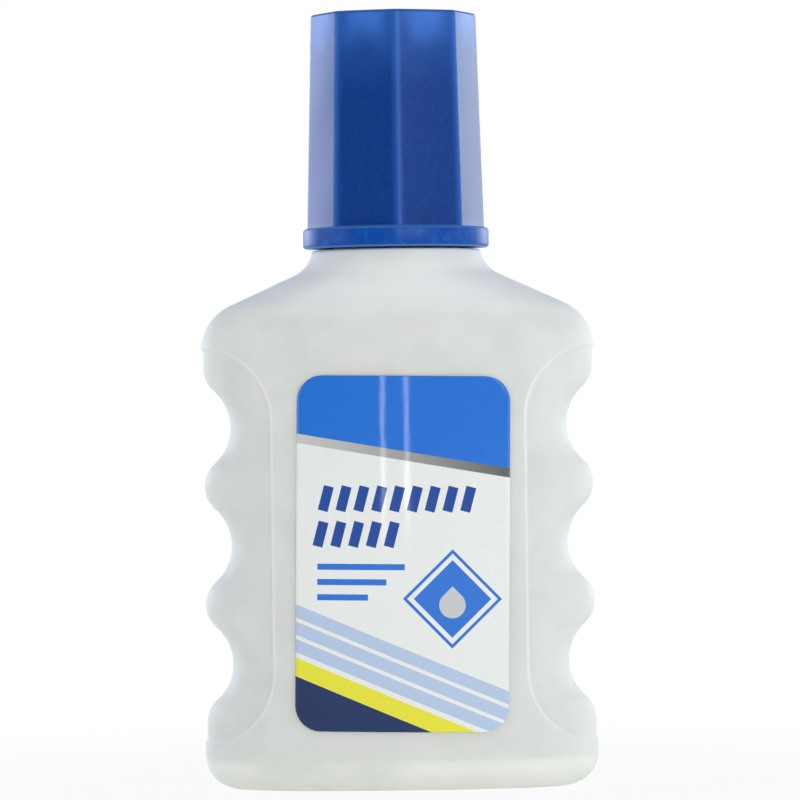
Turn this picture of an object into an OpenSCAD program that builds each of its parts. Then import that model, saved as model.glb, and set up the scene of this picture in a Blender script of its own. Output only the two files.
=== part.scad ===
// Correction fluid bottle with finger grips and a twist-off cap that carries a foam applicator.
// Millimetres, +Z up, front face towards -Y, origin under the middle of the base.

/* [Bottle body] */
// Width of the body across its sides
body_w = 39.2; // [37:0.1:46]
// Depth of the body from front to back
body_d = 20; // [19:0.1:26]
// Height of the body up to the flat land round the neck
body_h = 53.55; // [52:0.05:66]
// Wall thickness of the body
wall = 1; // [0.8:0.05:1.3]
// Radius of the gently curved front and back faces
face_r = 55; // [45:1:200]
// Width of the gently curved faces, before the rounded sides begin
face_w = 22; // [18:0.1:24]
// Squareness of the rounded sides, where 2 is an ellipse
side_power = 2.6; // [2.2:0.1:3]
// Height of the rounding round the base, also its reach on the sides
base_round = 3.3; // [3:0.1:6]
// Reach of the base rounding on the front and back
base_round_d = 3.2; // [2.5:0.1:5]
// Thickness of the base
base_t = 1.3; // [1.2:0.05:2]
// Rise of the hollow under the base
push_up = 0.5; // [0.3:0.05:0.8]
// Width of the flat rim that the bottle rests on
rest_rim = 2; // [1.5:0.1:3]

/* [Shoulder and neck] */
// Slope of the shoulder, in degrees from level
shoulder_slope = 24.4; // [20:0.1:30]
// Radius of the rounding from the sides into the shoulder
shoulder_r = 5; // [4:0.1:7]
// Radius of the collar under the cap
collar_r = 8.4; // [8:0.1:9.5]
// Radius of the hollow curve between shoulder and collar
collar_fillet = 3; // [2:0.1:4]
// Distance by which the land cuts the hollow curve short of upright
collar_cut = 0.3; // [0.2:0.05:1.2]
// Height of the neck above the land
neck_h = 11; // [9:0.1:14]
// Outer radius of the neck under its thread
neck_r = 6.1; // [5.9:0.05:6.4]
// Wall thickness of the neck
neck_wall = 1.1; // [0.8:0.05:1.2]

/* [Finger grips] */
// Number of finger valleys on each side
valley_count = 3; // [2:1:3]
// Distance from one valley to the next
valley_pitch = 11.8; // [10:0.1:12.2]
// Depth of a valley
valley_depth = 2.65; // [1.5:0.05:3]
// Radius of the bottom of a valley
valley_r = 4.9; // [3:0.1:6]
// Height of the middle of the grips
grip_z = 24.25; // [23:0.05:28]
// Depth of the grip panels below the faces
grip_recess = 0.2; // [0.1:0.05:0.5]
// Radius of the rounded ends of the grip panels
panel_r = 7.1; // [6:0.1:8]
// Distance from the sides out to the centres of the panels' ends
panel_out = 0.2; // [0:0.1:1]
// Distance of the ends' centres beyond the last valleys
panel_over = 0.6; // [0:0.1:1.5]

/* [Label] */
// Width of the label
label_w = 21; // [14:0.1:22]
// Height of the label
label_h = 35; // [25:0.1:37]
// Height of the middle of the label
label_z = 23.45; // [22:0.05:27]
// Distance of the label to the right of the middle, as it was stuck on
label_x = 0.3; // [0:0.05:0.5]
// Lean of the label to the right, as it was stuck on, in degrees
label_lean = 1; // [0:0.1:2]
// Corner radius of the label
label_r = 2.5; // [1:0.1:5]
// Thickness of the label film
label_t = 0.08; // [0.05:0.01:0.15]
// Thickness of the glue under the label
label_glue = 0.02; // [0.02:0.01:0.05]

/* [Cap] */
// Height of the cap with its flange
cap_h = 23.4; // [21:0.1:28]
// Radius over the cap's ridges at the flange
cap_base_r = 8.9; // [8.7:0.05:9.3]
// Radius over the cap's ridges at the top
cap_top_r = 8.25; // [8.1:0.05:9]
// Number of flat sides
cap_sides = 8; // [8:1:12]
// Amount by which the ridges are rounded off
ridge_cut = 0.1; // [0.05:0.01:0.3]
// Turn of the closed cap away from the front, in degrees
cap_turned = 1; // [0:1:20]
// Radius of the cap's top edge
cap_edge = 0.35; // [0.2:0.05:1.2]
// Thickness of the cap's top
cap_top_t = 1.3; // [1:0.1:2]
// Radius of the round flange
flange_r = 9.28; // [9.2:0.01:10.5]
// Thickness of the flange
flange_t = 1.95; // [1.5:0.05:3]
// Radius of the flange's edges
flange_edge = 0.3; // [0.2:0.05:0.7]
// Gap between the flange and the land
flange_gap = 0.2; // [0.15:0.05:0.6]
// Radial space between neck and cap for the thread
thread_space = 0.9; // [0.8:0.05:1]
// Distance from the cap's thread bore in to the hollow above it
ledge_w = 0.6; // [0.4:0.05:1]
// Number of ribs that carry the liner and the socket
rib_count = 8; // [4:1:10]
// Thickness of the ribs
rib_t = 0.8; // [0.6:0.05:1]
// Wall thickness of the socket for the stem
socket_wall = 1.15; // [0.8:0.05:1.2]
// Length of the socket below the ledge
socket_drop = 3; // [1.5:0.1:5]

/* [Liner] */
// Thickness of the liner
liner_t = 1; // [0.6:0.05:1.5]
// Clearance round the liner
liner_gap = 0.3; // [0.3:0.05:0.4]

/* [Applicator] */
// Radius of the stem
stem_r = 2; // [1.7:0.05:2.1]
// Clearance of the stem in its socket
stem_fit = 0.02; // [0.01:0.01:0.05]
// Radius of the tang that holds the foam
tang_r = 1.25; // [1:0.05:1.4]
// Length of the tang
tang_l = 6; // [4:0.1:8]
// Squeeze of the foam on the tang
foam_squeeze = 0.05; // [0.02:0.01:0.1]
// Length of the foam tip
foam_l = 11; // [9:0.1:13]
// Width of the foam tip where it is widest
foam_w = 7.6; // [6:0.1:8]
// Width of the foam tip at the stem
foam_neck_w = 5; // [4.6:0.1:6]
// Thickness of the foam tip at the stem
foam_t = 4.4; // [4:0.1:5]
// Thickness of the foam tip at its edge
foam_edge_t = 1.2; // [0.8:0.1:2]
// Slant of the foam's edge, from one side to the other
foam_slant = 2.4; // [0:0.1:4]
// Radius of the foam's lower corners
foam_corner = 0.7; // [0.3:0.1:1.5]
// Length of the foam at its full thickness, below the stem
foam_full = 3.6; // [2:0.1:5]
// Distance from the foam tip down to the bottle's floor
tip_clear = 7.4; // [6.8:0.1:12]

/* [Contents] */
// Depth of the fluid above the bottle's floor
fill_h = 40; // [25:0.1:46]
// Clearance round the fluid
fluid_gap = 0.1; // [0.05:0.01:0.2]
// Radius of the space in the fluid that the applicator sweeps
well_r = 4.7; // [4.5:0.05:5]
// Depth of that space below the foam tip
well_drop = 0.6; // [0.3:0.1:1]
// Radius of the mixer ball
ball_r = 2.5; // [2:0.1:2.8]
// Clearance round the mixer ball
ball_gap = 0.1; // [0.05:0.01:0.2]
// Distance from the swept space to the mixer ball
ball_off = 1.5; // [1:0.1:3]

/* [Hidden] */
$fn = 96;

// Pieces are cut a little past the faces they open, so that no skin is left
over = 0.2;
// Clearance between two flat faces that rest on each other
rest_gap = 0.01;

// Points of a quarter section, on the gently curved face and on the rounded side
outer_steps = [4, 8];
inner_steps = [3, 6];
// Rows of sections in the base rounding, in a valley and in each curve of the shoulder
base_steps = 5;
valley_steps = 10;
shoulder_steps = 5;
slope_steps = 3;

half_w = body_w / 2;
half_d = body_d / 2;
cavity_inset = grip_recess + wall;
// Hollow under the base: the height of each row, and how far it has drawn in from the rim
hollow_rows = [[-over, 0], [0, 0], [push_up * 0.7, 0.8], [push_up, 2]];

// The shoulder: a round curve, a straight slope and a hollow curve that ends at the land
arc_end = 90 - shoulder_slope;
collar_top = body_h + collar_cut;
slope_top = [
    collar_r + collar_fillet * (1 - cos(arc_end)),
    collar_top - collar_fillet * sin(arc_end)
];
slope_foot_w = half_w - shoulder_r * (1 - cos(arc_end));
slope_foot_z = slope_top[1] - (slope_foot_w - slope_top[0]) * tan(shoulder_slope);
shoulder_z = slope_foot_z - shoulder_r * sin(arc_end);

// The finger grips
half_pitch = valley_pitch / 2;
first_valley = grip_z - half_pitch * (valley_count - 1);
last_valley = grip_z + half_pitch * (valley_count - 1);
lobe_r = (pow(half_pitch, 2) + pow(valley_depth, 2)) / (2 * valley_depth) - valley_r;
valley_reach = half_pitch * valley_r / (valley_r + lobe_r);

// The neck and the cap, from the land up
bore_r = neck_r - neck_wall;
lip_z = body_h + neck_h;
neck_foot_z = body_h - wall / 2;
neck_chamfer = 0.3;
flange_z = body_h + flange_gap;
ledge_z = lip_z + liner_t + 2 * rest_gap;
cap_z = flange_z + cap_h;
roof_z = cap_z - cap_top_t;
thread_bore_r = neck_r + thread_space;
room_r = thread_bore_r - ledge_w;
bore_chamfer = 0.3;
socket_r = stem_r + stem_fit;
socket_outer_r = socket_r + socket_wall;
socket_z = ledge_z - socket_drop;

// The applicator, from the bottle's floor up
tip_z = base_t + tip_clear;
foam_top = tip_z + foam_l;
tang_z = foam_top - tang_l;
tang_taper = 0.4;

// Tilt of the foam's edge from level
edge_tilt = atan(foam_slant / (foam_w - 2 * foam_corner));

well_z = tip_z - well_drop;
ball_x = well_r + ball_off + ball_r;
ball_z = base_t + rest_gap + ball_r;

function mix(a, b, t) = a + (b - a) * t;

// How far the face falls back at a distance from its middle
function sag(x) = face_r - sqrt(face_r * face_r - x * x);

// How far the finger grip stands back at a height
function valley_at(z) =
    let (
        index = round((z - first_valley) / valley_pitch),
        nearest = min(max(index, 0), valley_count - 1),
        off = abs(z - first_valley - nearest * valley_pitch)
    )
    off >= half_pitch ? 0
    : off < valley_reach ? valley_depth - valley_r + sqrt(valley_r * valley_r - off * off)
    : lobe_r - sqrt(lobe_r * lobe_r - pow(half_pitch - off, 2));

// A row is [height, half width, half depth, blend], where blend runs from 0 for the flat oval
// of the body to 1 for the round collar
function base_rows(inset, floor_z) = [
    for (i = [0:base_steps])
        let (a = 90 * i / base_steps)
        [
            floor_z + (base_round - floor_z) * (1 - cos(a)),
            half_w - inset - (base_round - inset) * (1 - sin(a)),
            half_d - inset - (base_round_d - inset) * (1 - sin(a)),
            0
        ]
];

function grip_rows(inset) = [
    for (i = [0:valley_steps * valley_count])
        let (z = first_valley - half_pitch + valley_pitch * i / valley_steps)
        if (z > base_round + over && z < shoulder_z - over)
            [z, half_w - inset, half_d - inset, 0]
];

function shoulder_row(inset, w, z) =
    let (blend = (half_w - inset - w) / (half_w - collar_r))
    [z, w, mix(half_d - inset, collar_r - inset, blend), blend];

function shoulder_rows(inset, top_z) =
    let (
        round_r = shoulder_r - inset,
        hollow_r = collar_fillet + inset,
        last_a = asin((collar_top - top_z) / hollow_r),
        foot = [half_w - shoulder_r + round_r * cos(arc_end), shoulder_z + round_r * sin(arc_end)],
        head = [collar_r + collar_fillet - hollow_r * cos(arc_end), collar_top - hollow_r * sin(arc_end)]
    )
    [
        for (i = [0:shoulder_steps - 1])
            let (a = arc_end * i / shoulder_steps)
            shoulder_row(inset, half_w - shoulder_r + round_r * cos(a), shoulder_z + round_r * sin(a)),
        for (i = [0:slope_steps - 1])
            let (p = mix(foot, head, i / slope_steps))
            shoulder_row(inset, p[0], p[1]),
        for (i = [0:shoulder_steps])
            let (a = mix(arc_end, last_a, i / shoulder_steps))
            shoulder_row(
                inset,
                collar_r + collar_fillet - hollow_r * cos(a),
                collar_top - hollow_r * sin(a)
            )
    ];

// A quarter of a section, from the middle of the face round to the middle of the side
function quarter(w, d, flat, steps) = [
    for (i = [0:steps[0] - 1])
        let (x = flat * i / steps[0])
        [x, d - sag(x)],
    for (i = [0:steps[1]])
        let (a = 90 * i / steps[1], x = flat + (w - flat) * pow(sin(a), 2 / side_power))
        [x, (d - sag(x)) * pow(cos(a), 2 / side_power)]
];

function round_quarter(w, d, steps) = [
    for (i = [0:steps[0] + steps[1]])
        let (a = 90 * i / (steps[0] + steps[1]))
        [w * sin(a), d * cos(a)]
];

// The whole section of a row, drawn anticlockwise from the middle of the front
function section(row, inset, valley, steps) =
    let (
        w = row[1] - valley,
        flat = face_w / 2 * row[1] / (half_w - inset),
        q = mix(quarter(w, row[2], flat, steps), round_quarter(w, row[2], steps), row[3]),
        n = steps[0] + steps[1]
    )
    concat(
        [for (i = [0:n - 1]) [q[i][0], -q[i][1], row[0]]],
        [for (i = [0:n - 1]) [q[n - i][0], q[n - i][1], row[0]]],
        [for (i = [0:n - 1]) [-q[i][0], q[i][1], row[0]]],
        [for (i = [0:n - 1]) [-q[n - i][0], -q[n - i][1], row[0]]]
    );

// An arc as points, from one angle to another
function arc(centre, r, from, to, steps = 4) = [
    for (i = [0:steps])
        let (a = mix(from, to, i / steps))
        [centre[0] + r * cos(a), centre[1] + r * sin(a)]
];

// Skins a stack of sections that all have the same number of points
module loft(sections) {
    n = len(sections[0]);
    last = len(sections) - 1;
    polyhedron(
        points = [for (s = sections) for (p = s) p],
        faces = concat(
            [[for (i = [0:n - 1]) i]],
            [[for (i = [0:n - 1]) last * n + n - 1 - i]],
            [
                for (s = [0:last - 1])
                    for (i = [0:n - 1])
                        let (j = (i + 1) % n)
                        [s * n + i, s * n + n + i, s * n + n + j, s * n + j]
            ]
        ),
        convexity = 6
    );
}

// The body's form, smooth or with finger grips, set in from its outer surface
module body_form(inset, floor_z, top_z, grips, steps) {
    rows = concat(
        base_rows(inset, floor_z),
        grips ? grip_rows(inset) : [],
        shoulder_rows(inset, top_z)
    );
    loft([for (row = rows) section(row, inset, grips ? valley_at(row[0]) : 0, steps)]);
}

// The two long panels on the sides, seen from the front, as cutters through the whole depth
module grip_windows() {
    for (side = [-1, 1])
        translate([side * (half_w + panel_out), 0, 0])
            rotate([90, 0, 0])
                linear_extrude(body_d + 2 * over, center = true) {
                    for (z = [first_valley - panel_over, last_valley + panel_over])
                        translate([0, z])
                            circle(panel_r);
                    translate([-panel_r, first_valley - panel_over])
                        square([2 * panel_r, last_valley - first_valley + 2 * panel_over]);
                }
}

// Shallow hollow under the base, inside the rim that the bottle rests on
module base_hollow() {
    reach_w = half_w - base_round - rest_rim;
    reach_d = half_d - base_round_d - rest_rim;
    loft([
        for (row = hollow_rows)
            section([row[0], reach_w - row[1], reach_d - row[1], 0], 0, 0, inner_steps)
    ]);
}

module neck() {
    rotate_extrude()
        polygon([
            [bore_r - over, neck_foot_z],
            [neck_r, neck_foot_z],
            [neck_r, lip_z - neck_chamfer],
            [neck_r - neck_chamfer, lip_z],
            [bore_r - over, lip_z]
        ]);
}

module bottle() {
    color("#d6dbd8")
        difference() {
            union() {
                difference() {
                    body_form(0, 0, body_h, false, outer_steps);
                    grip_windows();
                }
                body_form(grip_recess, grip_recess, body_h - grip_recess, true, outer_steps);
                neck();
            }
            body_form(cavity_inset, base_t, body_h - wall, true, inner_steps);
            translate([0, 0, body_h - wall - over])
                cylinder(r = bore_r, h = neck_h + wall + 2 * over);
            base_hollow();
        }
}

module label() {
    color("#e9eef0")
        intersection() {
            translate([0, face_r - half_d, 0])
                difference() {
                    cylinder(r = face_r + label_glue + label_t, h = body_h, $fn = 360);
                    translate([0, 0, -over])
                        cylinder(r = face_r + label_glue, h = body_h + 2 * over, $fn = 360);
                }
            translate([label_x, 0, label_z])
                rotate([90, label_lean, 0])
                    linear_extrude(body_d)
                        rounded_square(label_w, label_h, label_r, $fn = 48);
        }
}

module rounded_square(w, h, r) {
    square([w - 2 * r, h], center = true);
    square([w, h - 2 * r], center = true);
    for (x = [-1, 1], z = [-1, 1])
        translate([x * (w / 2 - r), z * (h / 2 - r)])
            circle(r);
}

module fluid() {
    color("#f6f7f5")
        difference() {
            intersection() {
                body_form(
                    cavity_inset + fluid_gap,
                    base_t + rest_gap,
                    body_h - wall - fluid_gap,
                    true,
                    inner_steps
                );
                translate([-half_w, -half_d, 0])
                    cube([body_w, body_d, base_t + fill_h]);
            }
            translate([0, 0, well_z])
                cylinder(r = well_r, h = body_h);
            translate([ball_x, 0, ball_z])
                sphere(r = ball_r + ball_gap);
            translate([ball_x, 0, 0])
                cylinder(r = ball_r + ball_gap, h = ball_z);
        }
}

module mixer_ball() {
    color("#b9bcc0")
        translate([ball_x, 0, ball_z])
            sphere(r = ball_r);
}

// The eight-sided tapered form, with its top edge rounded off
module cap_facets() {
    edge_r = cap_top_r + ridge_cut;
    rotate([0, 0, cap_turned - 90])
        rotate_extrude($fn = cap_sides)
            polygon(concat(
                [[0, flange_z + flange_t / 2], [cap_base_r + ridge_cut, flange_z + flange_t / 2]],
                arc([edge_r - cap_edge, cap_z - cap_edge], cap_edge, 0, 90),
                [[0, cap_z]]
            ));
}

// The cone that rounds off the ridges between the flat sides
module cap_cone() {
    rotate_extrude()
        polygon(concat(
            [[0, flange_z], [cap_base_r, flange_z]],
            arc([cap_top_r - cap_edge, cap_z - cap_edge], cap_edge, 0, 90),
            [[0, cap_z]]
        ));
}

module flange() {
    inner = flange_r - flange_edge;
    rotate_extrude()
        polygon(concat(
            [[0, flange_z]],
            arc([inner, flange_z + flange_edge], flange_edge, -90, 0),
            arc([inner, flange_z + flange_t - flange_edge], flange_edge, 0, 90),
            [[0, flange_z + flange_t]]
        ));
}

// Everything inside the cap that is hollow: the thread bore, its mouth and the room above
module cap_hollow() {
    rotate_extrude()
        polygon([
            [0, flange_z - over],
            [thread_bore_r + bore_chamfer + over, flange_z - over],
            [thread_bore_r + bore_chamfer, flange_z],
            [thread_bore_r, flange_z + bore_chamfer],
            [thread_bore_r, ledge_z],
            [room_r, ledge_z],
            [room_r, roof_z],
            [0, roof_z]
        ]);
}

// Ribs between the socket and the shell, whose lower edges press on the liner
module cap_ribs() {
    for (i = [0:rib_count - 1])
        rotate([0, 0, cap_turned + 360 * i / rib_count])
            translate([socket_outer_r - over, -rib_t / 2, ledge_z])
                cube([room_r + over - socket_outer_r + over, rib_t, roof_z - ledge_z + over]);
}

module socket() {
    translate([0, 0, socket_z])
        cylinder(r = socket_outer_r, h = roof_z - socket_z + over);
}

module cap() {
    color("#2457a6")
        difference() {
            union() {
                difference() {
                    union() {
                        intersection() {
                            cap_facets();
                            cap_cone();
                        }
                        flange();
                    }
                    cap_hollow();
                }
                cap_ribs();
                socket();
            }
            translate([0, 0, socket_z - over])
                cylinder(r = socket_r, h = roof_z - socket_z + over);
        }
}

module cap_liner() {
    color("#f0f0ec")
        translate([0, 0, lip_z + rest_gap])
            difference() {
                cylinder(r = thread_bore_r - liner_gap, h = liner_t);
                translate([0, 0, -over])
                    cylinder(r = socket_outer_r + liner_gap, h = liner_t + 2 * over);
            }
}

module applicator_stem() {
    color("#e4e6e4")
        rotate_extrude()
            polygon([
                [0, tang_z],
                [tang_r - tang_taper, tang_z],
                [tang_r, tang_z + tang_taper],
                [tang_r, foam_top],
                [stem_r, foam_top],
                [stem_r, roof_z - rest_gap],
                [0, roof_z - rest_gap]
            ]);
}

// Half the foam's width, from 0 at the stem to 1 at its lower corners
function foam_reach(t) = mix(foam_neck_w, foam_w, t * t) / 2;

// The foam's outline from the front: hollow sides that flare down to a slanted edge
function foam_outline() =
    let (
        corner_x = foam_w / 2 - foam_corner,
        low_z = tip_z + foam_corner,
        high_z = low_z + foam_slant
    )
    concat(
        [for (t = [0:0.2:0.9]) [foam_reach(t), mix(foam_top, low_z, t)]],
        arc([corner_x, low_z], foam_corner, 0, -90 - edge_tilt),
        arc([-corner_x, high_z], foam_corner, -90 - edge_tilt, -180),
        [for (t = [0.8:-0.2:-0.1]) [-foam_reach(t), mix(foam_top, high_z, t)]]
    );

// A flat wedge that widens downwards and thins towards its edge
module foam_tip() {
    color("#efece2")
        difference() {
            intersection() {
                rotate([90, 0, 0])
                    linear_extrude(foam_t, center = true)
                        polygon(foam_outline());
                rotate([90, 0, 90])
                    linear_extrude(foam_w + 2 * over, center = true)
                        polygon([
                            [-foam_t / 2, foam_top + over],
                            [-foam_t / 2, foam_top - foam_full],
                            [-foam_edge_t / 2, tip_z],
                            [foam_edge_t / 2, tip_z],
                            [foam_t / 2, foam_top - foam_full],
                            [foam_t / 2, foam_top + over]
                        ]);
            }
            translate([0, 0, tang_z])
                cylinder(r = tang_r - foam_squeeze, h = foam_l);
        }
}

bottle();
label();
fluid();
mixer_ball();
cap();
cap_liner();
applicator_stem();
foam_tip();
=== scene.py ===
"""Looks of the correction fluid bottle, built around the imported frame.

Sizes are in millimetres in the frame of the part: +Z up, front towards -Y. Only the floor, the
lamps and the camera, which stand round the part, are placed in metres.
"""

import math

import bmesh
import bpy
import numpy as np
from mathutils import Matrix, Vector, noise


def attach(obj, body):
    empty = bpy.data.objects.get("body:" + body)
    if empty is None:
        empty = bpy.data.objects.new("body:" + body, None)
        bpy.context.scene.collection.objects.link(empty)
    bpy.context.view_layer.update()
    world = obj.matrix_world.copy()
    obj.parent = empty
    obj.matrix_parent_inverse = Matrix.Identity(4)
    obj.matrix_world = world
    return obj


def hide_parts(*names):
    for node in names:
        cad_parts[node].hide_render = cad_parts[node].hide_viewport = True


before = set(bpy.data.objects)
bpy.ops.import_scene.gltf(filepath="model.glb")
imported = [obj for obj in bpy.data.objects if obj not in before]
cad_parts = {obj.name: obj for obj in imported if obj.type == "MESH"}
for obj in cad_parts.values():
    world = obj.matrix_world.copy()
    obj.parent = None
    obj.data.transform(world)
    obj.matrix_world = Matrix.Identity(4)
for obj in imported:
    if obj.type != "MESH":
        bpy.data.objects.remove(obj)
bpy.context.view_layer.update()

MM = 0.001

# Body, with the same values as the solid
HALF_W, HALF_D, BODY_H = 19.6, 10.0, 53.55
WALL, BASE_T = 1.0, 1.3
FACE_R, FACE_W = 55.0, 22.0
SIDE_POWER = 2.6
BASE_ROUND, BASE_ROUND_D = 3.3, 3.2
PUSH_UP, PUSH_UP_RUN, REST_RIM = 0.5, 2.0, 2.0
SHOULDER_SLOPE, SHOULDER_R = math.radians(24.4), 5.0
COLLAR_R, COLLAR_FILLET, COLLAR_CUT = 8.4, 3.0, 0.3
NECK_H, NECK_R, BORE_R = 11.0, 6.1, 5.0
LIP_Z = BODY_H + NECK_H
GRIP_Z = 24.25
VALLEY_PITCH, VALLEY_DEPTH, VALLEY_R = 11.8, 2.65, 4.9
VALLEYS = (GRIP_Z - VALLEY_PITCH, GRIP_Z, GRIP_Z + VALLEY_PITCH)
PANEL_R, PANEL_OUT, PANEL_OVER, PANEL_RECESS = 7.1, 0.2, 0.6, 0.2

# Trim of the body that the solid lacks
# Rounding of the land's edge under the cap
LAND_EDGE = 0.3
# The panel's rounded lip: where it starts on the body and where it ends, from the panel's edge
LIP_OUT, LIP_IN = 0.4, -0.08
# How far round its arc the lip goes before its crisp inner corner, where 1 is a quarter circle
LIP_ARC = 0.93
# The fine bead that runs along the lip: its place from the panel's edge, its reach and its height
BEAD_OUT, BEAD_W, BEAD_H = 0.2, 0.12, 0.035
# The line where the halves of the mould met: its height, its reach and the t where it may start
LINE_H, LINE_W, LINE_FROM = 0.035, 0.13, 0.8

# Mesh of the body
# The share of a quarter section that the gently curved face takes up
FACE_SHARE = 1 / 3
# Spacing across the panels' lip, and how far it goes on from the panel's edge
LIP_STEP, LIP_REACH = 0.075, 0.55
# Points this far out from the gently curved face can lie in a panel
PAST_FACE = 0.5
# Halvings of the search for the panel's floor, which leave far less than a micrometre
HALVINGS = 26
# Steps of each curve of the outside and of the inside, and of the small roundings
OUTER_STEPS, INNER_STEPS, EDGE_STEPS = 12, 4, 5

# Label
LABEL_W, LABEL_H, LABEL_X, LABEL_Z = 21.0, 35.0, 0.3, 23.45
LABEL_LEAN = math.radians(1)
LABEL_R, LABEL_GLUE, LABEL_T = 2.5, 0.02, 0.08

# Cap
FLANGE_Z = BODY_H + 0.2
FLANGE_T, FLANGE_R, FLANGE_EDGE = 1.95, 9.28, 0.3
CAP_Z = FLANGE_Z + 23.4
CAP_BASE_R, CAP_TOP_R, CAP_EDGE = 8.9, 8.25, 0.35
CAP_SIDES, CAP_TURNED, RIDGE_R = 8, math.radians(2), 0.7
# How far the middle of a facet stands out: the sides of the cap are moulded a little convex
CROWN = 0.05
# The fillet at the foot of the facets, as heights over the flange and how far it stands out there
FOOT, FOOT_TOP = ((0, 0.16), (0.04, 0.05)), 0.16
CAP_BORE_R, BORE_CHAMFER = 7.0, 0.3
ROOM_R, ROOF_Z, LEDGE_Z = 6.4, CAP_Z - 1.3, LIP_Z + 1.02
SOCKET_R, SOCKET_OUTER_R, SOCKET_Z, SOCKET_EDGE = 2.02, 3.17, LEDGE_Z - 3, 0.15
RIBS, RIB_T = 8, 0.8
# How far ribs and socket reach into the walls that carry them
SUNK = 0.2

# Thread of neck and cap, and the height over which it rises and fades
PITCH, THREAD_H, THREAD_RUN = 3.0, 0.6, 0.8
THREAD_CREST, THREAD_FOOT = 0.25, 0.65
NECK_THREAD, CAP_THREAD = (BODY_H + 2.4, LIP_Z - 1.3), (FLANGE_Z + 0.9, LEDGE_Z - 1.2)

# Applicator
STEM_R, STEM_EDGE, TANG_R, TANG_TAPER = 2.0, 0.12, 1.25, 0.4
TANG_Z, FOAM_TOP, TIP_Z = 13.7, 19.7, 8.7
FOAM_W, FOAM_NECK_W, FOAM_T, FOAM_EDGE_T = 7.6, 5.0, 4.4, 1.2
FOAM_SLANT, FOAM_FULL = 2.4, 3.6
# Rounding of the foam's ends, and the power that makes its section a rounded rectangle
FOAM_EDGE, FOAM_POWER = 0.35, 0.22
# Cells of the foam in a millimetre, the radius of the open ones in cells, and their depth
CELLS, CELL_R, CELL_DEPTH = 2.2, 0.45, 0.3


def mix(a, b, t):
    return a + (b - a) * t


def ease(t):
    """Runs from 0 to 1 with a soft start and end."""
    t = np.clip(t, 0, 1)
    return t * t * (3 - 2 * t)


def linear(code):
    """The linear RGBA of an sRGB hex colour."""
    parts = [int(code[i : i + 2], 16) / 255 for i in (0, 2, 4)]
    return [c / 12.92 if c <= 0.04045 else ((c + 0.055) / 1.055) ** 2.4 for c in parts] + [1]


# Shapes of the bottle


def sag(x):
    """How far the face falls back at a distance from its middle."""
    return FACE_R - np.sqrt(FACE_R**2 - x**2)


def valley_at(z):
    """How far the finger grip stands back at a height."""
    half = VALLEY_PITCH / 2
    lobe_r = (half**2 + VALLEY_DEPTH**2) / (2 * VALLEY_DEPTH) - VALLEY_R
    reach = half * VALLEY_R / (VALLEY_R + lobe_r)
    off = np.min([np.abs(z - v) for v in VALLEYS], axis=0)
    hollow = VALLEY_DEPTH - VALLEY_R + np.sqrt(np.maximum(VALLEY_R**2 - off**2, 0))
    lobe = lobe_r - np.sqrt(np.maximum(lobe_r**2 - (half - off) ** 2, 0))
    return np.where(off >= half, 0, np.where(off < reach, hollow, lobe))


def oval(t, w, d, flat):
    """A quarter section, from t = 0 at the face's middle to t = 1 at the side's middle."""
    a = np.clip((t - FACE_SHARE) / (1 - FACE_SHARE), 0, 1) * math.pi / 2
    x = np.where(
        t < FACE_SHARE,
        flat * t / FACE_SHARE,
        flat + (w - flat) * np.sin(a) ** (2 / SIDE_POWER),
    )
    return x, (d - sag(x)) * np.abs(np.cos(a)) ** (2 / SIDE_POWER)


def section(t, w, d, blend, flat):
    """The oval at blend 0, a round one at blend 1."""
    x, y = oval(t, w, d, flat)
    a = t * math.pi / 2
    return mix(x, w * np.sin(a), blend), mix(y, d * np.cos(a), blend)


def base_rows(inset, floor_z, steps):
    """Height, half width, half depth and blend of the sections of the base's rounding."""
    a = np.linspace(0, math.pi / 2, steps + 1)
    return np.column_stack([
        floor_z + (BASE_ROUND - floor_z) * (1 - np.cos(a)),
        HALF_W - inset - (BASE_ROUND - inset) * (1 - np.sin(a)),
        HALF_D - inset - (BASE_ROUND_D - inset) * (1 - np.sin(a)),
        np.zeros(steps + 1),
    ])


def shoulder_rows(inset, top_z, steps):
    """The same of the shoulder: a round curve, a slope and a hollow curve up to the land."""
    arc_end = math.pi / 2 - SHOULDER_SLOPE
    collar_top = BODY_H + COLLAR_CUT
    slope_top = (
        COLLAR_R + COLLAR_FILLET * (1 - math.cos(arc_end)),
        collar_top - COLLAR_FILLET * math.sin(arc_end),
    )
    foot_w = HALF_W - SHOULDER_R * (1 - math.cos(arc_end))
    foot_z = slope_top[1] - (foot_w - slope_top[0]) * math.tan(SHOULDER_SLOPE)
    shoulder_z = foot_z - SHOULDER_R * math.sin(arc_end)
    round_r, hollow_r = SHOULDER_R - inset, COLLAR_FILLET + inset
    a = np.linspace(0, arc_end, steps + 1)
    convex = np.column_stack([
        HALF_W - SHOULDER_R + round_r * np.cos(a),
        shoulder_z + round_r * np.sin(a),
    ])
    a = np.linspace(arc_end, math.asin((collar_top - top_z) / hollow_r), steps + 1)
    hollow = np.column_stack([
        COLLAR_R + COLLAR_FILLET - hollow_r * np.cos(a),
        collar_top - hollow_r * np.sin(a),
    ])
    share = np.linspace(0, 1, steps + 1)[1:-1, None]
    w, z = np.vstack([convex, mix(convex[-1], hollow[0], share), hollow]).T
    blend = (HALF_W - inset - w) / (HALF_W - COLLAR_R)
    return np.column_stack([z, w, mix(HALF_D - inset, COLLAR_R - inset, blend), blend])


def panel_distance(x, z):
    """Distance to the edge of a grip panel in the front view, less than 0 within it."""
    low, high = VALLEYS[0] - PANEL_OVER, VALLEYS[-1] + PANEL_OVER
    return np.hypot(x - HALF_W - PANEL_OUT, z - np.clip(z, low, high)) - PANEL_R


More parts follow.
